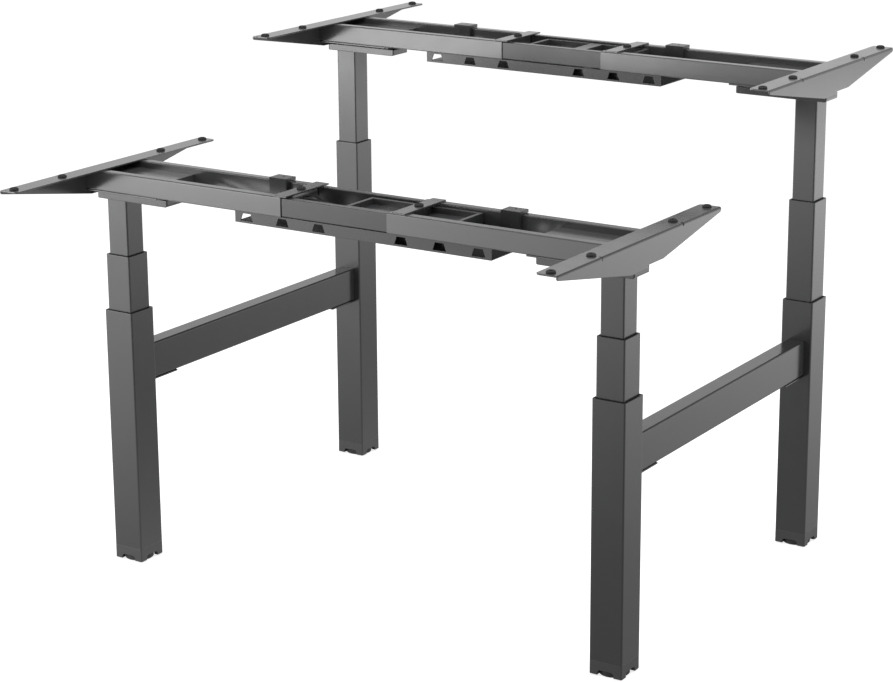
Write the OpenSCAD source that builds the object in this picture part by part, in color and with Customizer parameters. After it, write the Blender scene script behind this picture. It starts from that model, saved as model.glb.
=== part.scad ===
// Electric height-adjustable desk frame for two desks that stand face to face.
// Four three-stage square columns carry two separate top frames, and two cross beams tie the
// columns into pairs. X runs along the desks, Y from the front desk to the rear one, Z up from
// the floor. The front top frame is drawn lower than the rear one.

/* [Layout] */
// Distance between the left and right columns, centre to centre
column_pitch = 1155; // [1105:5:1205]
// Distance between the front and rear columns, centre to centre
row_pitch = 810; // [740:10:1000]
// How far the front top frame is raised above its lowest height
front_lift = 208; // [0:4:640]
// How far the rear top frame is raised above its lowest height
rear_lift = 400; // [0:4:640]

/* [Columns] */
// Side of the outer column tube
outer_side = 70; // [68:1:75]
// Side of the middle column tube
middle_side = 60; // [58:1:61]
// Side of the inner column tube
inner_side = 50; // [46:1:51]
// Wall of the three column tubes
tube_wall = 2; // [1.5:0.5:2.5]
// Outer corner radius of the column tubes
tube_corner = 3; // [2.6:0.2:4]
// Length of the outer tube
outer_len = 515; // [500:5:560]
// Length of the middle tube
middle_len = 508; // [480:4:508]
// Length of the inner tube
inner_len = 500; // [460:5:505]
// Height of the middle tube that stays in sight with the frame at its lowest
middle_show = 14; // [8:1:30]
// Height of the inner tube that stays in sight with the frame at its lowest
inner_show = 12; // [8:1:30]
// Height of the plastic guide bush in the mouth of a tube
bush_height = 26; // [15:1:40]
// How far a guide bush sits below the rim of its tube
bush_recess = 1; // [0.5:0.5:3]
// Running gap between a guide bush and the tube that slides in it
bush_gap = 0.3; // [0.2:0.1:0.6]

/* [Feet] */
// Height of the plastic cap under an outer tube, without its spigot
cap_height = 28; // [24:1:40]
// Height of the cap's four corner posts above the floor
cap_clear = 3; // [1:0.5:6]
// Length of the cap's spigot inside the tube
spigot_len = 15; // [8:1:20]
// Width of the window between two corner posts
window_width = 35; // [25:1:40]
// Height of the windows and of the round recess behind them
window_height = 10; // [10:1:16]
// Corner radius at the top of a window
window_corner = 6; // [2:1:8]
// Diameter of the levelling glide
glide_d = 60; // [50:1:62]
// Thickness of the levelling glide
glide_thick = 10; // [8:0.5:11]
// Width of the bevel round the glide's lower edge
glide_bevel = 1.5; // [0.5:0.5:3]
// Diameter of the threaded stud of the glide
stud_d = 12; // [8:1:16]
// Length of the stud above the glide
stud_len = 45; // [35:1:50]
// Diameter of the collar that the cap rests on
collar_d = 26; // [20:1:40]
// Radial running gap between the stud and the cap
stud_gap = 0.05; // [0.02:0.01:0.1]

/* [Cross beams] */
// Width of a cross beam
beam_width = 40; // [30:1:55]
// Height of a cross beam
beam_height = 76; // [60:1:90]
// Height of the middle of the beam above the floor
beam_level = 424; // [250:2:440]
// Wall of the cross beam
beam_wall = 2; // [1.5:0.5:3]
// Outer corner radius of the cross beam
beam_corner = 4; // [3:0.5:6]
// Length of the tongue inside each end of the beam, and of the shelf under it
tongue_len = 88; // [50:2:140]
// Wall of the tongue
tongue_wall = 2.2; // [1.6:0.2:3]
// Thickness of the shelf
shelf_t = 3; // [2:0.5:5]

/* [Side brackets] */
// Length of a side bracket, front to rear
bracket_len = 612; // [560:4:640]
// Width of the bracket's flange under the desk top
flange_width = 45; // [36:1:56]
// Thickness of the bracket's steel
bracket_t = 3; // [2:0.5:4]
// Distance from the column's axis out to the bracket's outer face
bracket_out = 50; // [44:1:60]
// Depth of the bracket where it is deepest, flange included
bracket_depth = 57; // [54:1:64]
// Depth of the bracket at its two tips
tip_depth = 9; // [6:1:20]
// Height of the small step in the bracket's lower edge
step_height = 6; // [3:0.5:10]
// How far in front of the column the deepest part begins
deep_front = 45; // [35:1:60]
// How far behind the column the step lies
deep_rear = 16; // [8:1:24]
// How far behind the column the rear taper begins
taper_rear = 75; // [60:1:120]
// Distance of the outer desk-top holes from the bracket's tips
hole_inset = 16; // [14:1:40]
// Distance of the inner desk-top holes from the column's axis
inner_hole = 152; // [120:1:180]
// Radius of the rounded flange tips
tip_round = 8; // [4:1:12]
// Width of the bend relief nicks beside the inner holes
nick_width = 4; // [2:0.5:8]
// Length that a nick reaches into the flange
nick_reach = 4; // [2:0.5:6]
// Outer radius of the bend between the flange and the web
bend_round = 4; // [3.2:0.2:6]

/* [Rails] */
// Height of the tall rails
rail_height = 40; // [36:1:45]
// Depth of the tall rails, front to rear
rail_depth = 20; // [16:1:25]
// Wall of the tall rails
rail_wall = 1.5; // [1:0.5:2]
// Outer corner radius of the rails
rail_corner = 2; // [1.6:0.2:3]
// Distance from the front face of the front rail to the rear face of the rear rail
rail_span = 142; // [136:1:160]
// How far the pair of rails lies behind the column's axis
rail_offset = 10; // [0:1:14]
// Height of the rails' underside above the top of the inner tube
rail_rise = 25; // [24:1:32]
// Distance from the left column's axis to the inner end of the left rails
left_reach = 442; // [420:2:455]
// Distance from the right column's axis to the inner end of the right rails
right_reach = 466; // [450:2:470]
// Length of the middle rail that stays inside each tall rail
rail_overlap = 200; // [160:5:260]
// Gap all round between a middle rail and a tall rail
slide_gap = 0.5; // [0.3:0.1:0.8]
// Wall of the middle rails
mid_wall = 2; // [1.5:0.5:3]
// Width of the cross strap on the inner ends of the rails
strap_width = 30; // [26:1:44]
// Distance from the column's axis to the middle of the strap
strap_reach = 440; // [420:1:445]

/* [Head housing] */
// Distance from the left column's axis to the inner end of its head housing
left_head = 134; // [132:1:150]
// Distance from the right column's axis to the inner end of its head housing
right_head = 160; // [140:1:170]
// Thickness of the pan welded to the top of the inner tube
pan_t = 2.5; // [2:0.5:4]
// Height of the pan's lip above its underside
pan_lip = 14; // [8:1:18]
// Radius of the pan's lower end edges
pan_round = 5; // [3:0.5:8]
// Gap between the inner tube's face and the inside of the pan's lip
pan_margin = 1; // [0:0.5:6]
// Thickness of the seat plate under the rails
seat_t = 3; // [2:0.5:4]
// Height of the cover above the top of the inner tube
cover_level = 52; // [50:1:60]
// Thickness of the cover's sheet
cover_t = 1.5; // [1:0.5:2.5]
// Diameter of the spacers between the pan and the seat plate
spacer_d = 11; // [8:1:11]
// Side of the gearbox
gear_side = 42; // [36:1:42]
// Diameter of the motor
motor_d = 40; // [34:1:42]
// Length of the motor
motor_len = 88; // [70:1:90]
// Diameter of the spindle that hangs in the inner tube
spindle_d = 18; // [12:1:30]
// Length of the spindle below the gearbox
spindle_len = 470; // [420:5:480]

/* [Cable tray] */
// Length of the cable tray
tray_len = 590; // [560:5:600]
// Thickness of the tray's sheet
tray_t = 1.5; // [1:0.5:2]
// Height of the tray's underside above the top of the inner tube
tray_level = 2; // [0:0.5:4]
// Distance of the tray's front face behind the front rail's front face
tray_inset = 5; // [2:0.5:8]
// How far the front tray lies to the right of the middle
front_shift = 45; // [40:1:48]
// How far the rear tray lies to the left of the middle
rear_shift = 40; // [36:1:41]
// Distance from each end of the tray to the middle of its hanger
hanger_inset = 25; // [23:1:29]
// Depth of a hanger's box section in front of the rear rail
hanger_depth = 10; // [6:1:12]
// Width of a hanger
hanger_width = 42; // [30:1:42]
// Height of a hanger's top above the rails
hanger_height = 7; // [4:0.5:7]
// Diameter of the screw hole in the hook of a hanger
hook_hole = 5; // [3:0.5:6]
// Distance between the middles of neighbouring slots
slot_pitch = 86; // [60:1:88]
// Distance from each end of the tray to the middle of its outermost slot
slot_inset = 28; // [24:1:36]
// Width of a slot at its foot
slot_foot = 30; // [22:1:36]
// Width of a slot at its top
slot_top = 19; // [12:1:20]
// Height of a slot
slot_height = 15; // [10:0.5:16]
// Height of the slot's foot above the tray's underside
slot_rise = 4; // [3:0.5:5]

/* [Control box] */
// Length of the control box
box_len = 255; // [240:5:265]
// Distance from the middle of the tray to the left end of the control box
box_start = 47; // [20:1:60]
// Depth of the control box, front to rear
box_depth = 92; // [70:1:94]
// Height of the control box
box_height = 56; // [35:1:57]
// Width of the raised rim round the recesses in its lid
box_rim = 8; // [5:1:12]
// Width of the bar between the two recesses
box_bar = 30; // [14:1:40]
// Depth of the recesses in its lid
box_recess = 12; // [4:1:20]
// Radius of the control box's upright corners
box_round = 4; // [2:1:8]

/* [Grommets] */
// Diameter of the rubber grommets
grommet_d = 20; // [16:1:24]
// Diameter of the neck that fills the hole in the steel
neck_d = 12; // [10:1:14]
// Diameter of the screw hole through a grommet
screw_d = 6.5; // [5:0.5:8]
// Height of a grommet above the steel
grommet_rise = 4.5; // [1:0.5:6]

/* [Cables] */
// Diameter of the motor cables
cable_d = 6; // [4:0.5:8]

/* [Hidden] */

$fn = 48;
// overrun of every cut past the face that it opens
cut = 1;
// gap between pieces that lie face to face
seat_gap = 0.3;
steel = "#6f7173";
steel_light = "#8d8f91";
plastic = "#2e2f31";
rubber = "#161617";

// sides and rows: the columns stand at side * pitch / 2 and row * pitch / 2
LEFT = -1;
RIGHT = 1;
FRONT = -1;
REAR = 1;

outer_top = cap_clear + cap_height + outer_len;
function lift(row) = row == FRONT ? front_lift : rear_lift;
function middle_top(row) = outer_top + middle_show + lift(row) / 2;
function inner_top(row) = outer_top + middle_show + inner_show + lift(row);
function reach(side) = side == LEFT ? left_reach : right_reach;
function head(side) = side == LEFT ? left_head : right_head;
function shift(row) = row == FRONT ? front_shift : -rear_shift;

// places across the top frame, measured from the column's axis
rail_front = rail_offset - rail_span / 2;
rail_rear = rail_offset + rail_span / 2;
gap_front = rail_front + rail_depth;
gap_rear = rail_rear - rail_depth;
rail_top = rail_rise + rail_height;
flange_top = rail_top + bracket_t;
web_in = bracket_out - bracket_t;
flange_in = bracket_out - flange_width;
flange_mid = bracket_out - flange_width / 2;
pan_half = inner_side / 2 + pan_margin + pan_t;
outer_hole = bracket_len / 2 - hole_inset;
spacer_y = pan_half - pan_t - seat_gap - spacer_d / 2;
spacer_out = gear_side / 2 + seat_gap + spacer_d / 2;
spacer_in = spacer_out + motor_len;
motor_half = gear_side / 2 + seat_gap;
tray_front = rail_front + tray_inset;
tray_rear = gap_rear - slide_gap;
tray_top = rail_rise - seat_gap;
mid_height = rail_height - 2 * rail_wall - 2 * slide_gap;
mid_depth = rail_depth - 2 * rail_wall - 2 * slide_gap;
mid_corner = rail_corner - rail_wall + slide_gap;
mid_left = -column_pitch / 2 + left_reach - rail_overlap;
mid_right = column_pitch / 2 - right_reach + rail_overlap;
recess_r = glide_d / 2 + cut;
box_y = (gap_front + gap_rear) / 2;

// motor cables: share of the way from the head housing to the control box, then the distance
// from the middle of the gap and the height above the tray's underside
cable_routes = [
    [[0, -14, 34], [0.12, -16, 31], [0.3, -20, 16], [0.48, -26, 14], [0.64, -32, 38], [0.76, -32, 56],
        [0.86, -22, 50], [0.94, -12, 38], [1, -10, 34]],
    [[0, 12, 34], [0.12, 14, 30], [0.3, 18, 13], [0.46, 24, 14], [0.6, 28, 34], [0.72, 18, 52],
        [0.82, 2, 46], [0.92, 6, 36], [1, 8, 34]]];
cable_steps = 4;
cable_sides = 8;

module at_column(side, row) {
    translate([side * column_pitch / 2, row * row_pitch / 2, 0]) children();
}

// the same, turned so that +X points away from the middle of the desk
module at_head(side, row) {
    at_column(side, row) translate([0, 0, inner_top(row)]) scale_x(side) children();
}

module scale_x(side) {
    if (side < 0) mirror([1, 0, 0]) children();
    else children();
}

module rounded(w, d, r) {
    union() {
        square([w - 2 * r, d], center = true);
        square([w, d - 2 * r], center = true);
        for (x = [-1, 1], y = [-1, 1]) translate([x * (w / 2 - r), y * (d / 2 - r)]) circle(r);
    }
}

module tube_profile(w, d, r, wall) {
    difference() {
        rounded(w, d, r);
        rounded(w - 2 * wall, d - 2 * wall, r - wall > 0 ? r - wall : wall / 4);
    }
}

// a rectangular tube along X from x0 to x1, with its middle at y and z
module tube_x(x0, x1, y, z, depth, height, r, wall) {
    translate([x0, y, z]) rotate([90, 0, 90]) linear_extrude(x1 - x0) tube_profile(depth, height, r, wall);
}

module square_tube(side, len) {
    linear_extrude(len) tube_profile(side, side, tube_corner, tube_wall);
}

// tongue that fits inside the end of a cross beam, with the shelf that the beam lies on
module beam_carrier() {
    slack = 2 * beam_wall + 2 * seat_gap;
    rotate([90, 0, 0]) linear_extrude(tongue_len)
        tube_profile(beam_width - slack, beam_height - slack, beam_corner - beam_wall / 2, tongue_wall);
    translate([-beam_width / 2, -tongue_len, -beam_height / 2 - seat_gap - shelf_t])
        cube([beam_width, tongue_len, shelf_t]);
}

// outer tube with the carrier of the cross beam welded to its inner face
module outer_tube(side, row) {
    color(steel) at_column(side, row) {
        translate([0, 0, cap_clear + cap_height]) square_tube(outer_side, outer_len);
        mirror([0, row > 0 ? 0 : 1, 0]) translate([0, -outer_side / 2, beam_level]) beam_carrier();
    }
}

module middle_tube(side, row) {
    color(steel) at_column(side, row) translate([0, 0, middle_top(row) - middle_len])
        square_tube(middle_side, middle_len);
}

// inner tube with the shallow pan of the head housing welded on top
module inner_tube(side, row) {
    color(steel) {
        at_column(side, row) translate([0, 0, inner_top(row) - inner_len]) square_tube(inner_side, inner_len);
        at_head(side, row) head_pan(head(side));
    }
}

module head_pan(inner_end) {
    len = web_in + inner_end;
    middle = (web_in - inner_end) / 2;
    difference() {
        intersection() {
            translate([middle, 0, 0]) linear_extrude(pan_lip) rounded(len, 2 * pan_half, tube_corner);
            translate([middle, pan_half + cut, 0]) rotate([90, 0, 0]) linear_extrude(2 * pan_half + 2 * cut)
                pan_ends(len);
        }
        translate([middle, 0, pan_t]) linear_extrude(pan_lip)
            rounded(len - 2 * pan_t, 2 * pan_half - 2 * pan_t,
                tube_corner - pan_t > 0 ? tube_corner - pan_t : pan_t / 4);
        translate([0, 0, -cut]) cylinder(d = spindle_d + 2 * pan_t, h = pan_t + 2 * cut);
    }
}

// the pan from the front, rounded where its floor turns up into the end lips
module pan_ends(len) {
    union() {
        translate([-len / 2, pan_round]) square([len, pan_lip]);
        translate([pan_round - len / 2, 0]) square([len - 2 * pan_round, pan_lip]);
        for (x = [-1, 1]) translate([x * (len / 2 - pan_round), pan_round]) circle(pan_round);
    }
}

module guide_bush(outside, inside, outside_r) {
    difference() {
        linear_extrude(bush_height) rounded(outside, outside, outside_r);
        translate([0, 0, -cut]) linear_extrude(bush_height + 2 * cut)
            rounded(inside, inside, tube_corner + bush_gap);
    }
}

module outer_bush(side, row) {
    color(plastic) at_column(side, row) translate([0, 0, outer_top - bush_recess - bush_height])
        guide_bush(outer_side - 2 * tube_wall, middle_side + 2 * bush_gap,
            tube_corner - tube_wall > 0 ? tube_corner - tube_wall : tube_wall / 4);
}

module middle_bush(side, row) {
    color(plastic) at_column(side, row) translate([0, 0, middle_top(row) - bush_recess - bush_height])
        guide_bush(middle_side - 2 * tube_wall, inner_side + 2 * bush_gap,
            tube_corner - tube_wall > 0 ? tube_corner - tube_wall : tube_wall / 4);
}

module window_profile() {
    union() {
        translate([-window_width / 2, -cut]) square([window_width, window_height - window_corner + cut]);
        translate([-window_width / 2 + window_corner, 0])
            square([window_width - 2 * window_corner, window_height]);
        for (x = [-1, 1]) translate([x * (window_width / 2 - window_corner), window_height - window_corner])
            circle(window_corner);
    }
}

// end cap that stands on four corner posts round the glide, with a spigot up inside the tube
module foot_cap(side, row) {
    spigot = outer_side - 2 * tube_wall - 2 * seat_gap;
    color(plastic) at_column(side, row) translate([0, 0, cap_clear]) difference() {
        union() {
            linear_extrude(cap_height) rounded(outer_side, outer_side, tube_corner);
            linear_extrude(cap_height + spigot_len) rounded(spigot, spigot, tube_corner / 2);
        }
        translate([0, 0, -cut]) cylinder(r = recess_r, h = window_height + cut);
        for (a = [0, 90]) rotate([90, 0, a]) translate([0, 0, -outer_side / 2 - cut])
            linear_extrude(outer_side + 2 * cut) window_profile();
        cylinder(d = stud_d + 2 * stud_gap, h = cap_height + spigot_len + cut);
    }
}

module glide(side, row) {
    collar_top = cap_clear + window_height - seat_gap;
    color(rubber) at_column(side, row) {
        cylinder(d1 = glide_d - 2 * glide_bevel, d2 = glide_d, h = glide_bevel);
        translate([0, 0, glide_bevel]) cylinder(d = glide_d, h = glide_thick - glide_bevel);
        translate([0, 0, glide_thick]) cylinder(d = collar_d, h = collar_top - glide_thick);
        translate([0, 0, collar_top]) cylinder(d = stud_d, h = stud_len);
    }
}

// gearbox over the column, motor lying towards the middle and spindle down inside the tube
module drive(side, row) {
    gear_top = cover_level - cover_t - seat_gap;
    axis = pan_t + seat_gap + motor_d / 2;
    color(plastic) at_head(side, row) {
        translate([0, 0, pan_t]) linear_extrude(gear_top - pan_t) rounded(gear_side, gear_side, tube_corner);
        translate([-gear_side / 2 - motor_len, 0, axis]) rotate([0, 90, 0])
            cylinder(d = motor_d, h = motor_len + gear_side / 2);
        translate([0, 0, pan_t - spindle_len]) cylinder(d = spindle_d, h = spindle_len + gear_side / 2);
    }
}

module cross_beam(side) {
    len = row_pitch - outer_side - 2 * seat_gap;
    color(steel) translate([side * column_pitch / 2, len / 2, beam_level]) rotate([90, 0, 0])
        linear_extrude(len) tube_profile(beam_width, beam_height, beam_corner, beam_wall);
}

// half of a top frame: two rails, the seat plate with its spacers, and the cross strap, all welded
module half_frame(side, row) {
    x0 = -reach(side);
    x1 = web_in;
    level = rail_rise + rail_height / 2;
    color(steel_light) at_head(side, row) {
        for (y = [rail_front + rail_depth / 2, rail_rear - rail_depth / 2])
            tube_x(x0, x1, y, level, rail_depth, rail_height, rail_corner, rail_wall);
        seat_plate(-head(side), x1);
        for (x = [-spacer_in, spacer_out], y = [-spacer_y, spacer_y]) translate([x, y, pan_t])
            cylinder(d = spacer_d, h = rail_rise - seat_t / 2 - pan_t);
        difference() {
            translate([-strap_reach - strap_width / 2, rail_front, rail_top])
                cube([strap_width, rail_span, bracket_t]);
            translate([-strap_reach, rail_offset, rail_top - cut])
                cylinder(d = neck_d, h = bracket_t + 2 * cut);
        }
    }
}

module seat_plate(x0, x1) {
    slot_end = -gear_side / 2 - motor_len - seat_gap;
    difference() {
        translate([x0, rail_front, rail_rise - seat_t]) cube([x1 - x0, rail_span, seat_t]);
        translate([slot_end, -motor_half, rail_rise - seat_t - cut])
            cube([gear_side / 2 + seat_gap - slot_end, 2 * motor_half, seat_t + 2 * cut]);
    }
}

// side bracket: a flange under the desk top and a tapered web on the outer side
module bracket(side, row) {
    color(steel_light) at_head(side, row) {
        difference() {
            union() {
                bracket_flange();
                translate([bracket_out, 0, 0]) rotate([90, 0, -90]) linear_extrude(bracket_t) bracket_web();
            }
            for (y = [-outer_hole, -inner_hole, inner_hole, outer_hole])
                translate([flange_mid, y, rail_top - cut]) cylinder(d = neck_d, h = bracket_t + 2 * cut);
            for (y = [-inner_hole, inner_hole])
                translate([web_in - nick_reach, y - nick_width / 2, rail_top - bracket_t])
                    cube([nick_reach + bracket_t + cut, nick_width, 2 * bracket_t + cut]);
            translate([bracket_out - bend_round, bracket_len / 2 + cut, flange_top - bend_round])
                rotate([90, 0, 0]) linear_extrude(bracket_len + 2 * cut) difference() {
                    square(bend_round + cut);
                    circle(bend_round);
                }
        }
    }
}

module bracket_flange() {
    half = bracket_len / 2;
    translate([0, 0, rail_top]) linear_extrude(bracket_t) union() {
        translate([flange_in, tip_round - half]) square([flange_width, bracket_len - 2 * tip_round]);
        translate([flange_in + tip_round, -half]) square([flange_width - tip_round, bracket_len]);
        for (y = [-1, 1]) translate([flange_in + tip_round, y * (half - tip_round)]) circle(tip_round);
    }
}

// lower edge of the web, seen from the outer side with the front to the right
module bracket_web() {
    half = bracket_len / 2;
    low = flange_top - bracket_depth;
    tip = flange_top - tip_depth;
    polygon([[half, flange_top], [half, tip + bracket_t], [half - bracket_t, tip], [deep_front, low],
        [-deep_rear, low], [-deep_rear, low + step_height], [-taper_rear, low + step_height],
        [bracket_t - half, tip], [-half, tip + bracket_t], [-half, flange_top]]);
}

// folded cover that closes the head housing between the rails
module cover(side, row) {
    len = web_in + head(side) - seat_gap;
    width = gap_rear - gap_front - 2 * seat_gap;
    height = cover_level - rail_rise;
    color(steel_light) at_head(side, row) translate([-head(side), gap_front + seat_gap, rail_rise])
        difference() {
            cube([len, width, height]);
            translate([cover_t, cover_t, -cut]) cube([len, width - 2 * cover_t, height - cover_t + cut]);
        }
}

module grommet() {
    difference() {
        union() {
            translate([0, 0, bracket_t])
                cylinder(d1 = grommet_d, d2 = grommet_d - grommet_rise, h = grommet_rise);
            cylinder(d = neck_d, h = bracket_t);
        }
        translate([0, 0, -cut]) cylinder(d = screw_d, h = bracket_t + grommet_rise + 2 * cut);
    }
}

// rubber grommets in the four holes of a bracket and the one in the strap
module grommets(side, row) {
    color(rubber) at_head(side, row) {
        for (y = [-outer_hole, -inner_hole, inner_hole, outer_hole])
            translate([flange_mid, y, rail_top]) grommet();
        translate([-strap_reach, rail_offset, rail_top]) grommet();
    }
}

// the two rails that slide in the tall rails
module middle_rails(row) {
    level = rail_rise + rail_height / 2;
    color(steel) translate([0, row * row_pitch / 2, inner_top(row)])
        for (y = [rail_front + rail_depth / 2, rail_rear - rail_depth / 2])
            tube_x(mid_left, mid_right, y, level, mid_depth, mid_height, mid_corner, mid_wall);
}

module slot_profile() {
    polygon([[-slot_foot / 2, 0], [slot_foot / 2, 0], [slot_top / 2, slot_height],
        [-slot_top / 2, slot_height]]);
}

// open channel under the rails, hung over the rear rail by two folded hangers
module cable_tray(row) {
    depth = tray_rear - tray_front;
    height = tray_top - tray_level;
    color(steel) translate([shift(row), row * row_pitch / 2, inner_top(row)]) {
        difference() {
            translate([-tray_len / 2, tray_front, tray_level]) cube([tray_len, depth, height]);
            translate([-tray_len / 2 - cut, tray_front + tray_t, tray_level + tray_t])
                cube([tray_len + 2 * cut, depth - 2 * tray_t, height]);
            for (g = [-1, 1], k = [0, 1, 2]) let (x = tray_len / 2 - slot_inset - k * slot_pitch)
                translate([g * x, tray_front - cut, tray_level + slot_rise]) rotate([90, 0, 0])
                    mirror([0, 0, 1]) linear_extrude(tray_t + 2 * cut) slot_profile();
        }
        for (g = [-1, 1]) translate([g * (tray_len / 2 - hanger_inset), 0, 0]) hanger();
    }
}

// folded hanger: a box section over the tray's rear wall, and a hook over the rear rail
module hanger() {
    top = rail_top + hanger_height;
    over = rail_depth + slide_gap + tray_t;
    translate([-hanger_width / 2, tray_rear - hanger_depth, tray_top]) difference() {
        cube([hanger_width, hanger_depth, top - tray_top]);
        translate([tray_t, tray_t, -cut])
            cube([hanger_width - 2 * tray_t, hanger_depth - 2 * tray_t, top - tray_top - tray_t + cut]);
    }
    translate([-hanger_width / 2, tray_rear - tray_t, tray_top - tray_t])
        cube([hanger_width, tray_t, top - tray_top + tray_t]);
    difference() {
        translate([-hanger_width / 2, tray_rear - tray_t, top - tray_t])
            cube([hanger_width, over + tray_t, tray_t]);
        translate([0, tray_rear + over / 2, top - tray_t - cut]) cylinder(d = hook_hole, h = tray_t + 2 * cut);
    }
    for (x = [-hanger_width / 2, hanger_width / 2 - tray_t])
        translate([x, tray_rear - tray_t, rail_top + seat_gap])
            cube([tray_t, over + tray_t, hanger_height - seat_gap]);
}

// control box in the tray, with two recesses in its lid
module control_box(row) {
    recess_len = (box_len - 2 * box_rim - box_bar) / 2;
    base = tray_level + tray_t;
    color(plastic) translate([shift(row) - box_start, row * row_pitch / 2 + box_y, inner_top(row) + base])
        difference() {
            translate([box_len / 2, 0, 0]) linear_extrude(box_height) rounded(box_len, box_depth, box_round);
            for (x = [box_rim, box_len - box_rim - recess_len])
                translate([x, box_rim - box_depth / 2, box_height - box_recess])
                    cube([recess_len, box_depth - 2 * box_rim, box_recess + cut]);
        }
}

function unit(v) = v / norm(v);

// a smooth curve through the points p, with n steps between neighbours
function curve(p, n) = [for (i = [0:len(p) - 2], k = [0:n - 1]) spline(p, i, k / n), p[len(p) - 1]];
function spline(p, i, t) =
    let (a = p[max(i - 1, 0)], b = p[i], c = p[i + 1], d = p[min(i + 2, len(p) - 1)])
    b + t * (c - a) / 2 + t * t * (a - 2.5 * b + 2 * c - d / 2) + t * t * t * (1.5 * (b - c) + (d - a) / 2);
function along(p, i) = unit(i == 0 ? [1, 0, 0] : i == len(p) - 1 ? [1, 0, 0] : p[i + 1] - p[i - 1]);

// a round tube swept along the points p
module swept(p, d) {
    n = len(p);
    rings = [for (i = [0:n - 1], k = [0:cable_sides - 1])
        let (t = along(p, i), u = unit(cross([0, 0, 1], t)), v = cross(t, u), a = 360 * k / cable_sides)
        p[i] + d / 2 * (cos(a) * u + sin(a) * v)];
    walls = [for (i = [0:n - 2], k = [0:cable_sides - 1])
        let (m = (k + 1) % cable_sides, a = i * cable_sides, b = a + cable_sides)
        each [[a + k, b + k, a + m], [a + m, b + k, b + m]]];
    ends = [[for (k = [0:cable_sides - 1]) k],
        [for (k = [cable_sides - 1:-1:0]) (n - 1) * cable_sides + k]];
    polyhedron(points = rings, faces = concat(walls, ends));
}

// the two leads from the left motor to the control box
module cables(row) {
    x0 = -column_pitch / 2 + left_head;
    x1 = shift(row) - box_start;
    color(rubber) translate([0, row * row_pitch / 2 + box_y, inner_top(row) + tray_level])
        for (route = cable_routes)
            swept(curve([for (q = route) [x0 + q[0] * (x1 - x0), q[1], q[2]]], cable_steps), cable_d);
}

outer_tube(LEFT, FRONT);  // front_left_outer_tube
outer_tube(RIGHT, FRONT);  // front_right_outer_tube
outer_tube(LEFT, REAR);  // rear_left_outer_tube
outer_tube(RIGHT, REAR);  // rear_right_outer_tube
middle_tube(LEFT, FRONT);  // front_left_middle_tube
middle_tube(RIGHT, FRONT);  // front_right_middle_tube
middle_tube(LEFT, REAR);  // rear_left_middle_tube
middle_tube(RIGHT, REAR);  // rear_right_middle_tube
inner_tube(LEFT, FRONT);  // front_left_inner_tube
inner_tube(RIGHT, FRONT);  // front_right_inner_tube
inner_tube(LEFT, REAR);  // rear_left_inner_tube
inner_tube(RIGHT, REAR);  // rear_right_inner_tube
outer_bush(LEFT, FRONT);  // front_left_outer_bush
outer_bush(RIGHT, FRONT);  // front_right_outer_bush
outer_bush(LEFT, REAR);  // rear_left_outer_bush
outer_bush(RIGHT, REAR);  // rear_right_outer_bush
middle_bush(LEFT, FRONT);  // front_left_middle_bush
middle_bush(RIGHT, FRONT);  // front_right_middle_bush
middle_bush(LEFT, REAR);  // rear_left_middle_bush
middle_bush(RIGHT, REAR);  // rear_right_middle_bush
foot_cap(LEFT, FRONT);  // front_left_foot_cap
foot_cap(RIGHT, FRONT);  // front_right_foot_cap
foot_cap(LEFT, REAR);  // rear_left_foot_cap
foot_cap(RIGHT, REAR);  // rear_right_foot_cap
glide(LEFT, FRONT);  // front_left_glide
glide(RIGHT, FRONT);  // front_right_glide
glide(LEFT, REAR);  // rear_left_glide
glide(RIGHT, REAR);  // rear_right_glide
drive(LEFT, FRONT);  // front_left_drive
drive(RIGHT, FRONT);  // front_right_drive
drive(LEFT, REAR);  // rear_left_drive
drive(RIGHT, REAR);  // rear_right_drive
cross_beam(LEFT);  // left_cross_beam
cross_beam(RIGHT);  // right_cross_beam
half_frame(LEFT, FRONT);  // front_left_half_frame
half_frame(RIGHT, FRONT);  // front_right_half_frame
half_frame(LEFT, REAR);  // rear_left_half_frame
half_frame(RIGHT, REAR);  // rear_right_half_frame
bracket(LEFT, FRONT);  // front_left_bracket
bracket(RIGHT, FRONT);  // front_right_bracket
bracket(LEFT, REAR);  // rear_left_bracket
bracket(RIGHT, REAR);  // rear_right_bracket
cover(LEFT, FRONT);  // front_left_cover
cover(RIGHT, FRONT);  // front_right_cover
cover(LEFT, REAR);  // rear_left_cover
cover(RIGHT, REAR);  // rear_right_cover
grommets(LEFT, FRONT);  // front_left_grommets
grommets(RIGHT, FRONT);  // front_right_grommets
grommets(LEFT, REAR);  // rear_left_grommets
grommets(RIGHT, REAR);  // rear_right_grommets
middle_rails(FRONT);  // front_middle_rails
middle_rails(REAR);  // rear_middle_rails
cable_tray(FRONT);  // front_cable_tray
cable_tray(REAR);  // rear_cable_tray
control_box(FRONT);  // front_control_box
control_box(REAR);  // rear_control_box
cables(FRONT);  // front_cables
cables(REAR);  // rear_cables
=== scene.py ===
import math

import bpy
import numpy as np
from mathutils import Matrix, Vector


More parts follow.
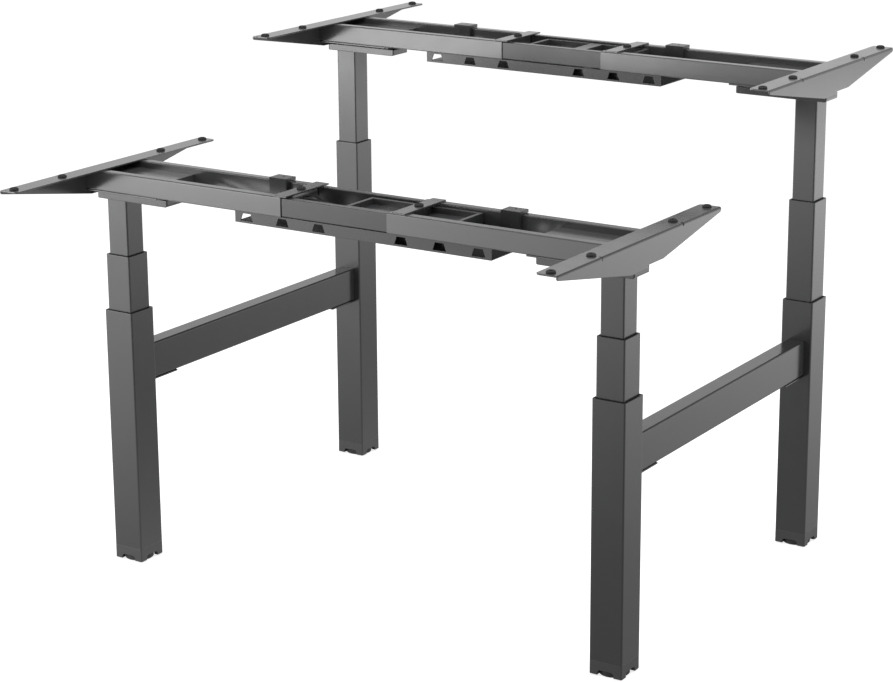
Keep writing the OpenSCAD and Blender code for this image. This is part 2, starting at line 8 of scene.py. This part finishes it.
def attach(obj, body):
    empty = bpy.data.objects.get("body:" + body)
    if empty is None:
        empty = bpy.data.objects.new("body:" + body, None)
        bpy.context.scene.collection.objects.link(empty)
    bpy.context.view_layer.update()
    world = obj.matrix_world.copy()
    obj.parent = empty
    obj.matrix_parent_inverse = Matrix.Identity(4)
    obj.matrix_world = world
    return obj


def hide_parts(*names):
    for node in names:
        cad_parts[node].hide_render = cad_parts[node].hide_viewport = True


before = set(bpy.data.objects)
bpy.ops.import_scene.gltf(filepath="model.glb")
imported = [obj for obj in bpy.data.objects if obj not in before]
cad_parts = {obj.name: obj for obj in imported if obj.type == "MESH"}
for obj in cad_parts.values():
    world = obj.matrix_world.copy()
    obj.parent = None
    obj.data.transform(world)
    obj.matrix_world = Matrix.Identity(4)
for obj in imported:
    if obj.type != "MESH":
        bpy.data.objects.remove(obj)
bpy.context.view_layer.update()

# Camera.
# A long lens stands to the right of the front desk and a little above its top frame, so the
# front and right faces of every column show. Its picture is shifted as a cropped photograph is.
azimuth, elevation, roll = math.radians(30.559), math.radians(15.262), math.radians(0.299)
eye = (2.6168, -4.1049, 1.8802)
look = Vector((-math.sin(azimuth) * math.cos(elevation),
               math.cos(azimuth) * math.cos(elevation),
               -math.sin(elevation)))
across = Vector((math.cos(azimuth), math.sin(azimuth), 0.0))
over = across.cross(look)
camera_right = across * math.cos(roll) + over * math.sin(roll)
camera_up = camera_right.cross(look)
camera_turn = Matrix((camera_right, camera_up, -look)).transposed().to_4x4()
camera_data = bpy.data.cameras.new("camera")
camera_data.sensor_width = 36.0
camera_data.lens = 97.37
camera_data.shift_x = -0.1159
camera_data.shift_y = -0.0459
camera = bpy.data.objects.new("camera", camera_data)
camera.matrix_world = Matrix.Translation(eye) @ camera_turn
bpy.context.scene.collection.objects.link(camera)
bpy.context.scene.camera = camera
bpy.context.scene.view_settings.view_transform = "Standard"

# Studio.
# A seamless white sweep under a white sky, one wide softbox overhead, one low at the left front
# and one at the right. The floor shows white to the camera and keeps the soft shadow of the feet.
# In reflections it is bright at the left front and the right rear and dim where the room is unlit.


def shader_tree(material):
    """Empties a material's node tree and returns (nodes, links, output)."""
    material.use_nodes = True
    tree = material.node_tree
    tree.nodes.clear()
    return tree.nodes, tree.links, tree.nodes.new("ShaderNodeOutputMaterial")


def feed(links, source, socket):
    """Sets an input socket to a number, or links an output socket to it."""
    if isinstance(source, float):
        socket.default_value = source
    else:
        links.new(source, socket)


def arithmetic(nodes, links, operation, *terms):
    """The result of a Math node; each term is a number or a socket."""
    node = nodes.new("ShaderNodeMath")
    node.operation = operation
    for n, term in enumerate(terms):
        feed(links, term, node.inputs[n])
    return node.outputs[0]


def ramp(nodes, links, value, near, far, first, last, curve="SMOOTHSTEP"):
    """A value that goes from first to last while the given socket goes from near to far."""
    node = nodes.new("ShaderNodeMapRange")
    node.interpolation_type = curve
    feed(links, value, node.inputs["Value"])
    for label, source in (("From Min", near), ("From Max", far), ("To Min", first), ("To Max", last)):
        feed(links, source, node.inputs[label])
    return node.outputs[0]


def per_ray(nodes, links, rays, otherwise):
    """A value that is otherwise for most rays, and for each kind of ray in rays the number or the
    socket given with it, the last kind winning."""
    path = nodes.new("ShaderNodeLightPath")
    value = otherwise
    for ray, level in rays:
        choice = nodes.new("ShaderNodeMix")
        links.new(path.outputs[ray], choice.inputs["Factor"])
        feed(links, value, choice.inputs["A"])
        feed(links, level, choice.inputs["B"])
        value = choice.outputs["Result"]
    return value


floor_edges = np.array([-14.0, 14.0])
floor_level = -0.0005
floor_x, floor_y = np.meshgrid(floor_edges, floor_edges)
floor_points = np.stack([floor_x, floor_y, np.full_like(floor_x, floor_level)], axis=-1)
floor_mesh = bpy.data.meshes.new("floor")
floor_mesh.from_pydata(floor_points.reshape(-1, 3).tolist(), [], [(0, 1, 3, 2)])
floor = bpy.data.objects.new("floor", floor_mesh)
bpy.context.scene.collection.objects.link(floor)
floor_paper = bpy.data.materials.new("studio_paper")
nodes, links, output = shader_tree(floor_paper)
paper = nodes.new("ShaderNodeBsdfDiffuse")
paper.inputs["Color"].default_value = (0.74, 0.74, 0.74, 1.0)
glow = nodes.new("ShaderNodeEmission")
seen_glow = 0.75
glow_level = per_ray(nodes, links, (("Is Transmission Ray", seen_glow), ("Is Camera Ray", seen_glow)), 0.0)
links.new(glow_level, glow.inputs["Strength"])
lit_paper = nodes.new("ShaderNodeAddShader")
links.new(paper.outputs[0], lit_paper.inputs[0])
links.new(glow.outputs[0], lit_paper.inputs[1])

# bright patches of the floor, each growing along its own direction, and their fading far off
ground = nodes.new("ShaderNodeTexCoord")
patches = 0.0
for direction, near, far, dim, bright in (((-1.0, -0.3, 0.0), -1.0, 4.2, 0.05, 3.4),
                                          ((0.75, 0.66, 0.0), -0.8, 5.8, 0.28, 2.7)):
    along = nodes.new("ShaderNodeVectorMath")
    along.operation = "DOT_PRODUCT"
    links.new(ground.outputs["Object"], along.inputs[0])
    along.inputs[1].default_value = direction
    patch = ramp(nodes, links, along.outputs["Value"], near, far, dim, bright)
    patches = arithmetic(nodes, links, "ADD", patches, patch)
away = nodes.new("ShaderNodeVectorMath")
away.operation = "LENGTH"
links.new(ground.outputs["Object"], away.inputs[0])
fade = ramp(nodes, links, away.outputs["Value"], near=4.5, far=9.0, first=1.0, last=0.25)
mirror_glow = nodes.new("ShaderNodeEmission")
links.new(arithmetic(nodes, links, "MULTIPLY", patches, fade), mirror_glow.inputs["Strength"])
path = nodes.new("ShaderNodeLightPath")
seen = nodes.new("ShaderNodeMixShader")
links.new(path.outputs["Is Glossy Ray"], seen.inputs["Fac"])
links.new(lit_paper.outputs[0], seen.inputs[1])
links.new(mirror_glow.outputs[0], seen.inputs[2])
links.new(seen.outputs[0], output.inputs["Surface"])
floor_paper.cycles.emission_sampling = "NONE"
floor_mesh.materials.append(floor_paper)

# the sky: white to the camera, and in reflections a white horizon under a dim ceiling
world = bpy.data.worlds.new("studio")
bpy.context.scene.world = world
world.use_nodes = True
world.node_tree.nodes.clear()
nodes, links = world.node_tree.nodes, world.node_tree.links
sky = nodes.new("ShaderNodeBackground")
sky.inputs["Color"].default_value = (1.0, 1.0, 1.0, 1.0)
direction = nodes.new("ShaderNodeTexCoord")
height = nodes.new("ShaderNodeSeparateXYZ")
links.new(direction.outputs["Generated"], height.inputs[0])
wall = ramp(nodes, links, height.outputs["Z"], near=0.30, far=0.56, first=0.95, last=0.10)
sky_rays = (("Is Glossy Ray", wall), ("Is Transmission Ray", 1.0), ("Is Camera Ray", 1.0))
fill_light = 0.36
links.new(per_ray(nodes, links, sky_rays, fill_light), sky.inputs["Strength"])
sky_output = nodes.new("ShaderNodeOutputWorld")
links.new(sky.outputs[0], sky_output.inputs["Surface"])
world.cycles.sampling_method = "NONE"


def softbox(name, place, aim, width, height, watts):
    """A rectangular lamp at place whose face looks at aim."""
    lamp = bpy.data.lights.new(name, "AREA")
    lamp.shape = "RECTANGLE"
    lamp.size, lamp.size_y, lamp.energy = width, height, watts
    holder = bpy.data.objects.new(name, lamp)
    turn = (Vector(aim) - Vector(place)).normalized().to_track_quat("-Z", "Y")
    holder.matrix_world = Matrix.Translation(place) @ turn.to_matrix().to_4x4()
    bpy.context.scene.collection.objects.link(holder)


softbox("softbox_top", place=(0.2, -0.3, 3.6), aim=(0.0, 0.0, 0.8), width=3.6, height=3.0, watts=75.0)
softbox("softbox_left_front", place=(-2.3, -2.9, 1.1), aim=(-0.3, 0.0, 0.6),
        width=1.6, height=1.8, watts=62.0)
softbox("softbox_right", place=(2.9, 0.9, 1.1), aim=(0.5, 0.0, 0.6),
        width=1.6, height=1.8, watts=24.0)

# Columns and cross beams.
# Each column is three square steel tubes that slide in one another, and a folded steel beam
# hangs between the outer tubes of the front and the rear column. All have a baked dark grey
# satin powder coat with a fine orange-peel skin and a slight cloudiness.


def value_group(name, inputs, outputs):
    """A shader node group with named float, colour and vector sockets, given as (name, type)."""
    group = bpy.data.node_groups.new(name, "ShaderNodeTree")
    for label, kind in inputs:
        group.interface.new_socket(name=label, in_out="INPUT", socket_type="NodeSocket" + kind)
    for label, kind in outputs:
        group.interface.new_socket(name=label, in_out="OUTPUT", socket_type="NodeSocket" + kind)
    return group, group.nodes.new("NodeGroupInput"), group.nodes.new("NodeGroupOutput")


# rim: a rounded normal at every edge, and a mask of those edges
rim, rim_in, rim_out = value_group(
    "rim", [("Radius", "Float"), ("Gain", "Float")], [("Mask", "Float"), ("Normal", "Vector")])
rounding = rim.nodes.new("ShaderNodeBevel")
rounding.samples = 6
rim.links.new(rim_in.outputs["Radius"], rounding.inputs["Radius"])
facing = rim.nodes.new("ShaderNodeNewGeometry")
agreement = rim.nodes.new("ShaderNodeVectorMath")
agreement.operation = "DOT_PRODUCT"
rim.links.new(rounding.outputs[0], agreement.inputs[0])
rim.links.new(facing.outputs["True Normal"], agreement.inputs[1])
turned = arithmetic(rim.nodes, rim.links, "SUBTRACT", 1.0, agreement.outputs["Value"])
mask = arithmetic(rim.nodes, rim.links, "MULTIPLY", turned, rim_in.outputs["Gain"])
mask.node.use_clamp = True
rim.links.new(mask, rim_out.inputs["Mask"])
rim.links.new(rounding.outputs[0], rim_out.inputs["Normal"])

# speckle: noise at two scales turned into a tint of the colour, a roughness and a height
speckle, speckle_in, speckle_out = value_group(
    "speckle",
    [("Place", "Vector"), ("Colour", "Color"), ("Grain", "Float"), ("Cloud", "Float"),
     ("Contrast", "Float"), ("Shine", "Float"), ("Dull", "Float")],
    [("Colour", "Color"), ("Roughness", "Float"), ("Height", "Float")])
noise = {}
for scale, detail in (("Grain", 3.0), ("Cloud", 4.0)):
    texture = speckle.nodes.new("ShaderNodeTexNoise")
    texture.inputs["Detail"].default_value = detail
    speckle.links.new(speckle_in.outputs["Place"], texture.inputs["Vector"])
    speckle.links.new(speckle_in.outputs[scale], texture.inputs["Scale"])
    noise[scale] = texture.outputs["Fac"]
contrast = speckle_in.outputs["Contrast"]
both_scales = arithmetic(speckle.nodes, speckle.links, "ADD", noise["Grain"], noise["Cloud"])
base_level = arithmetic(speckle.nodes, speckle.links, "MULTIPLY_ADD", contrast, -1.0, 1.0)
swing = arithmetic(speckle.nodes, speckle.links, "MULTIPLY_ADD", both_scales, contrast, base_level)
tint = speckle.nodes.new("ShaderNodeVectorMath")
tint.operation = "SCALE"
speckle.links.new(speckle_in.outputs["Colour"], tint.inputs[0])
speckle.links.new(swing, tint.inputs["Scale"])
speckle.links.new(tint.outputs[0], speckle_out.inputs["Colour"])
roughness = ramp(speckle.nodes, speckle.links, noise["Cloud"], 0.3, 0.7,
                 speckle_in.outputs["Shine"], speckle_in.outputs["Dull"], curve="LINEAR")
speckle.links.new(roughness, speckle_out.inputs["Roughness"])
speckle.links.new(noise["Grain"], speckle_out.inputs["Height"])


def finish(name, colour, grain, cloud, contrast, shine, dull, bump, metallic=0.0, specular=0.5,
           edge_light_gain=1.0, edge=0.0010, edge_light_tint=2.4):
    """A finished surface: the speckle group feeds colour, roughness and a bump of the given depth,
    and the rim group rounds the edges by the given radius. Its mask paints light into the colour
    along the edges, the more the larger the gain: painted shade where the edge tint is below one
    and a painted highlight where it is above one."""
    material = bpy.data.materials.new(name)
    nodes, links, output = shader_tree(material)
    place = nodes.new("ShaderNodeTexCoord")
    skin = nodes.new("ShaderNodeGroup")
    skin.node_tree = speckle
    links.new(place.outputs["Object"], skin.inputs["Place"])
    skin.inputs["Colour"].default_value = (*colour, 1.0)
    for label, value in (("Grain", grain), ("Cloud", cloud), ("Contrast", contrast),
                         ("Shine", shine), ("Dull", dull)):
        skin.inputs[label].default_value = value
    surface = nodes.new("ShaderNodeBsdfPrincipled")
    surface.inputs["Metallic"].default_value = metallic
    surface.inputs["Specular IOR Level"].default_value = specular
    relief = nodes.new("ShaderNodeBump")
    relief.inputs["Strength"].default_value = 0.35
    relief.inputs["Distance"].default_value = bump
    # rounded normal for the shading, and the mask of the band that gets painted light
    painted_edge_band = nodes.new("ShaderNodeGroup")
    painted_edge_band.node_tree = rim
    painted_edge_band.inputs["Radius"].default_value = edge
    painted_edge_band.inputs["Gain"].default_value = edge_light_gain
    # painted light along the edges: the colour turns towards the edge tint over the rounded band
    lit_edge_colour = nodes.new("ShaderNodeMix")
    lit_edge_colour.data_type = "RGBA"
    links.new(painted_edge_band.outputs["Mask"], lit_edge_colour.inputs["Factor"])
    links.new(skin.outputs["Colour"], lit_edge_colour.inputs["A"])
    lit_edge_colour.inputs["B"].default_value = tuple(edge_light_tint * c for c in colour) + (1.0,)
    links.new(painted_edge_band.outputs["Normal"], relief.inputs["Normal"])
    links.new(lit_edge_colour.outputs["Result"], surface.inputs["Base Color"])
    links.new(skin.outputs["Roughness"], surface.inputs["Roughness"])
    links.new(skin.outputs["Height"], relief.inputs["Height"])
    links.new(relief.outputs["Normal"], surface.inputs["Normal"])
    links.new(surface.outputs[0], output.inputs["Surface"])
    return material


def dress(node, material):
    """Gives a CAD node one finish over its whole surface."""
    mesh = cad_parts[node].data
    mesh.materials.clear()
    mesh.materials.append(material)


corners = [(row, side) for row in ("front", "rear") for side in ("left", "right")]
# painted shade: the edge tint of 0.4 darkens the band along every edge and corner of the tubes and beams
column_coat = finish("column_powder_coat", colour=(0.030, 0.0305, 0.0315), grain=900.0, cloud=26.0,
                     contrast=0.10, shine=0.17, dull=0.21, bump=0.00002,
                     edge_light_gain=2.5, edge=0.0020, edge_light_tint=0.4)
for row, side in corners:
    for stage in ("outer", "middle", "inner"):
        dress(f"{row}_{side}_{stage}_tube", column_coat)
for side in ("left", "right"):
    dress(f"{side}_cross_beam", column_coat)

# Top frames.
# The rails with their seat plates and straps are folded from steel sheet and welded, and carry the
# folded side brackets and head covers. Their powder coat is a shade paler than the columns', in part
# a painted sheen for their bright top faces, and that of the middle rails, which slide in them, is a
# little duller.
# painted shade: the edge tint of 0.35 darkens the band along every edge and bend of the rails, brackets
# and covers
frame_coat = finish("frame_powder_coat", colour=(0.058, 0.0585, 0.060), grain=850.0, cloud=24.0,
                    contrast=0.06, shine=0.17, dull=0.21, bump=0.00002, specular=0.55,
                    edge_light_gain=3.0, edge=0.0016, edge_light_tint=0.35)
for row, side in corners:
    for piece in ("half_frame", "bracket", "cover"):
        dress(f"{row}_{side}_{piece}", frame_coat)
# painted highlight: the default edge tint of 2.4 lightens the band along every edge
rail_coat = finish("middle_rail_coat", colour=(0.030, 0.0305, 0.0315), grain=850.0, cloud=24.0,
                   contrast=0.06, shine=0.20, dull=0.24, bump=0.00002, specular=0.34)
for row in ("front", "rear"):
    dress(f"{row}_middle_rails", rail_coat)

# Cable trays.
# Each tray is one folded channel of thin steel sheet with slots in its front wall, powder coated
# and hung over the rear rail by two folded hangers.
# painted highlight: the default edge tint of 2.4 lightens the band along every edge
tray_coat = finish("tray_powder_coat", colour=(0.034, 0.0345, 0.0355), grain=850.0, cloud=24.0,
                   contrast=0.06, shine=0.24, dull=0.30, bump=0.00002, specular=0.34)
for row in ("front", "rear"):
    dress(f"{row}_cable_tray", tray_coat)

# Guide bushes, foot caps and control boxes.
# These are moulded in black glass-filled plastic with a fine spark-eroded texture. The bushes and
# caps are pressed into the tubes' ends, and the boxes lie in the cable trays.
# painted highlight: the default edge tint of 2.4 lightens the band along every edge
moulded = finish("moulded_plastic", colour=(0.030, 0.030, 0.032), grain=1400.0, cloud=12.0,
                 contrast=0.16, shine=0.48, dull=0.62, bump=0.00010)
for row, side in corners:
    for piece in ("outer_bush", "middle_bush"):
        dress(f"{row}_{side}_{piece}", moulded)
# painted highlight: the default edge tint of 2.4 lightens the band along every edge
cap_plastic = finish("foot_cap_plastic", colour=(0.036, 0.036, 0.0375), grain=1200.0, cloud=10.0,
                     contrast=0.12, shine=0.34, dull=0.46, bump=0.00012)
for row, side in corners:
    dress(f"{row}_{side}_foot_cap", cap_plastic)
# painted highlight: the default edge tint of 2.4 lightens the band along every edge
box_plastic = finish("control_box_plastic", colour=(0.045, 0.046, 0.048), grain=1300.0, cloud=11.0,
                     contrast=0.10, shine=0.26, dull=0.36, bump=0.00006)
for row in ("front", "rear"):
    dress(f"{row}_control_box", box_plastic)

# Levelling glides and grommets.
# Both are moulded in black rubber. A grommet is pressed into each hole that takes a desk-top
# screw, with a soft domed collar that the desk top lies on.
# painted highlight: the default edge tint of 2.4 lightens the band along every edge
rubber = finish("black_rubber", colour=(0.014, 0.014, 0.015), grain=1100.0, cloud=14.0,
                contrast=0.25, shine=0.60, dull=0.80, bump=0.00015)
for row, side in corners:
    dress(f"{row}_{side}_glide", rubber)
    dress(f"{row}_{side}_grommets", rubber)


def lathe(rings, centres):
    """Vertices and faces of a closed skin over rings of points, repeated round each centre: face
    (i, k) spans points k and k + 1 of rings i and i + 1, and both counts wrap round."""
    count, steps = rings.shape[:2]
    i, k = np.meshgrid(np.arange(count), np.arange(steps), indexing="ij")
    i2, k2 = (i + 1) % count, (k + 1) % steps
    quads = np.stack([i * steps + k, i * steps + k2, i2 * steps + k2, i2 * steps + k], axis=-1)
    copies = np.arange(len(centres))[:, None, None] * count * steps
    points = np.array(centres)[:, None, None] + rings
    return points.reshape(-1, 3), (quads.reshape(-1, 4) + copies).reshape(-1, 4).tolist()


def spun(outline, centres, steps=40):
    """Vertices and faces of a closed outline of (radius, height) turned round each centre: a vertex
    lies at centre + (radius cos a, radius sin a, height) for a in equal steps round the circle."""
    radius, height = np.array(outline).T[:, :, None]
    angle = np.linspace(0.0, 2.0 * np.pi, steps, endpoint=False)
    rings = np.stack(np.broadcast_arrays(radius * np.cos(angle), radius * np.sin(angle), height), axis=-1)
    return lathe(rings, centres)


def solid(name, points, faces, material, smooth=True):
    """A mesh object of the given points and faces, with one material."""
    mesh = bpy.data.meshes.new(name)
    mesh.from_pydata(points.tolist(), [], faces)
    mesh.materials.append(material)
    mesh.polygons.foreach_set("use_smooth", np.full(len(mesh.polygons), smooth))
    mesh.update()
    piece = bpy.data.objects.new(name, mesh)
    bpy.context.scene.collection.objects.link(piece)
    return piece


side_sign = {"left": -1.0, "right": 1.0}
column_x = 0.5775
row_y = {"front": -0.405, "rear": 0.405}
tube_top = {"front": 0.780, "rear": 0.972}
rail_top = 0.065
bracket_hole_x = column_x + 0.0275
bracket_holes_y = (-0.290, -0.152, 0.152, 0.290)
strap_hole_x, strap_hole_y = column_x - 0.440, 0.010
collar = [(0.00325, 0.0), (0.0059, 0.0), (0.0059, 0.0031), (0.0086, 0.0031), (0.0090, 0.0034),
          (0.0090, 0.0044), (0.0087, 0.0054), (0.0080, 0.0064), (0.0070, 0.0071), (0.0058, 0.0075),
          (0.0050, 0.0075), (0.0041, 0.0070), (0.0035, 0.0062), (0.00325, 0.0052)]
for row, side in corners:
    sign, depth, seat = side_sign[side], row_y[row], tube_top[row] + rail_top
    holes = [(sign * bracket_hole_x, depth + y, seat) for y in bracket_holes_y]
    holes.append((sign * strap_hole_x, depth + strap_hole_y, seat))
    points, faces = spun(collar, holes)
    grommets = solid(f"{row}_{side}_grommet_collars", points, faces, rubber)
    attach(grommets, f"{row}_{side}_top")
    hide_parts(f"{row}_{side}_grommets")

# Motor cables.
# Two leads with a black plastic jacket leave the left head housing, lie in the tray, rise in a
# loose loop beside the control box and plug into its left end. Each is swept along a curve.
jacket = finish("cable_jacket", colour=(0.016, 0.016, 0.017), grain=1600.0, cloud=30.0,
                contrast=0.2, shine=0.50, dull=0.62, bump=0.00005, specular=0.25, edge_light_gain=0.0)

# share of the way from the head to the box, then millimetres behind the box's middle and above
# the tray's underside
routes = [
    [(0.0, -14, 34), (0.12, -16, 31), (0.3, -20, 16), (0.48, -26, 14), (0.64, -32, 38),
     (0.76, -32, 56), (0.86, -22, 50), (0.94, -12, 38), (1.0, -10, 34)],
    [(0.0, 12, 34), (0.12, 14, 30), (0.3, 18, 13), (0.46, 24, 14), (0.6, 28, 34),
     (0.72, 18, 52), (0.82, 2, 46), (0.92, 6, 36), (1.0, 8, 34)]]


def smooth_path(knots, steps):
    """Points of a curve through the knots: between two knots it is the cubic whose slope at each
    knot is half the step from the knot before to the knot after."""
    knots = np.array(knots, dtype=float)
    before = np.vstack([knots[:1], knots[:-2]])
    after = np.vstack([knots[2:], knots[-1:]])
    a, b = knots[:-1], knots[1:]
    slope_a, slope_b = (b - before) / 2.0, (after - a) / 2.0
    t = np.arange(steps)[None, :, None] / steps
    part = ((2 * t**3 - 3 * t**2 + 1) * a[:, None] + (t**3 - 2 * t**2 + t) * slope_a[:, None]
            + (3 * t**2 - 2 * t**3) * b[:, None] + (t**3 - t**2) * slope_b[:, None])
    return np.vstack([part.reshape(-1, 3), knots[-1:]])


def hose(path, radius, sides):
    """Vertices, wall faces and end faces of a tube along the path: rings of the given radius at
    right angles to the path, with a flat face over each end."""
    along = np.gradient(path, axis=0)
    along /= np.linalg.norm(along, axis=1, keepdims=True)
    along[0] = along[-1] = (1.0, 0.0, 0.0)
    flat = np.cross((0.0, 0.0, 1.0), along)
    flat /= np.linalg.norm(flat, axis=1, keepdims=True)
    high = np.cross(along, flat)
    angle = np.linspace(0.0, 2.0 * np.pi, sides, endpoint=False)[None, :, None]
    ring = path[:, None] + radius * (np.cos(angle) * flat[:, None] + np.sin(angle) * high[:, None])
    count = len(path)
    i, k = np.meshgrid(np.arange(count - 1), np.arange(sides), indexing="ij")
    i2, k2 = i + 1, (k + 1) % sides
    walls = np.stack([i * sides + k, i * sides + k2, i2 * sides + k2, i2 * sides + k], axis=-1)
    ends = np.stack([np.arange(sides)[::-1], (count - 1) * sides + np.arange(sides)])
    return ring.reshape(-1, 3), walls.reshape(-1, 4), ends


head_x = -0.4435
box_x = {"front": -0.002, "rear": -0.087}
box_y, tray_level = 0.010, 0.002
for row in ("front", "rear"):
    depth, level, run = row_y[row] + box_y, tube_top[row] + tray_level, box_x[row] - head_x
    points, faces, total = [], [], 0
    for route in routes:
        knots = [(head_x + share * run, depth + y / 1000.0, level + z / 1000.0) for share, y, z in route]
        ring, walls, ends = hose(smooth_path(knots, steps=14), radius=0.003, sides=20)
        points.append(ring)
        faces += (walls + total).tolist() + (ends + total).tolist()
        total += len(ring)
    leads = solid(f"{row}_motor_leads", np.concatenate(points), faces, jacket)
    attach(leads, f"{row}_left_top")
    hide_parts(f"{row}_cables")

# Clamp and mounting screws.
# Zinc-plated button-head screws clamp the middle rails in the half frames from below, and two more
# under each end of a cross beam hold it down on its carrier.
zinc = finish("zinc_plate", colour=(0.48, 0.48, 0.50), grain=1800.0, cloud=60.0,
              contrast=0.15, shine=0.26, dull=0.40, bump=0.00002, metallic=1.0, edge_light_gain=0.0)


def button_heads(centres, radius, height, socket, steps=36):
    """Vertices and faces of domed heads that hang below each centre: rings of a round outline, and
    a hexagonal socket whose wall lies at socket cos 30 / cos(a - 30) degrees, a taken modulo 60.
    The dome falls as a sine and narrows as a cosine that stops short of its middle."""
    angle = np.linspace(0.0, 2.0 * np.pi, steps, endpoint=False)
    hexagon = socket * math.cos(math.pi / 6) / np.cos(np.mod(angle, math.pi / 3) - math.pi / 6)
    quarter = 0.5 * math.pi * np.linspace(0.0, 1.0, 6)[:, None]
    dome_stop, rim_share = 0.62, 0.25
    dome = radius * np.cos(dome_stop * quarter) + 0.0 * angle
    fall = -height * (rim_share + (1.0 - rim_share) * np.sin(quarter)) + 0.0 * angle
    flat = np.zeros_like(angle)
    reach = np.vstack([hexagon, radius + flat, dome, hexagon])[::-1]
    level = np.vstack([flat, flat, fall, flat - height])[::-1]
    return lathe(np.stack([reach * np.cos(angle), reach * np.sin(angle), level], axis=-1), centres)


rail_tip_x = {"left": -0.1355, "right": 0.1115}
rail_foot, rails_y = 0.025, (-0.047, 0.071)
for row, side in corners:
    places = [(rail_tip_x[side] + side_sign[side] * back, row_y[row] + y, tube_top[row] + rail_foot)
              for back in (0.018, 0.044) for y in rails_y]
    points, faces = button_heads(places, radius=0.0042, height=0.0024, socket=0.0019)
    screws = solid(f"{row}_{side}_clamp_screws", points, faces, zinc, smooth=False)
    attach(screws, f"{row}_{side}_top")

beam_end, shelf_level = 0.370, 0.3828
for side in ("left", "right"):
    places = [(side_sign[side] * column_x, end * (beam_end - back), shelf_level)
              for end in (-1.0, 1.0) for back in (0.026, 0.064)]
    points, faces = button_heads(places, radius=0.0062, height=0.0034, socket=0.0030)
    screws = solid(f"{side}_beam_screws", points, faces, zinc, smooth=False)
    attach(screws, f"{side}_base")

# Lift drives.
# A cast gearbox over the column, a steel motor can beside it and a steel spindle down inside the
# tubes, all closed in by the seat plate and the head cover.
# painted highlight: the default edge tint of 2.4 lightens the band along every edge
drive_metal = finish("drive_metal", colour=(0.42, 0.42, 0.43), grain=500.0, cloud=20.0,
                     contrast=0.2, shine=0.30, dull=0.45, bump=0.00008, metallic=1.0)
for row, side in corners:
    dress(f"{row}_{side}_drive", drive_metal)
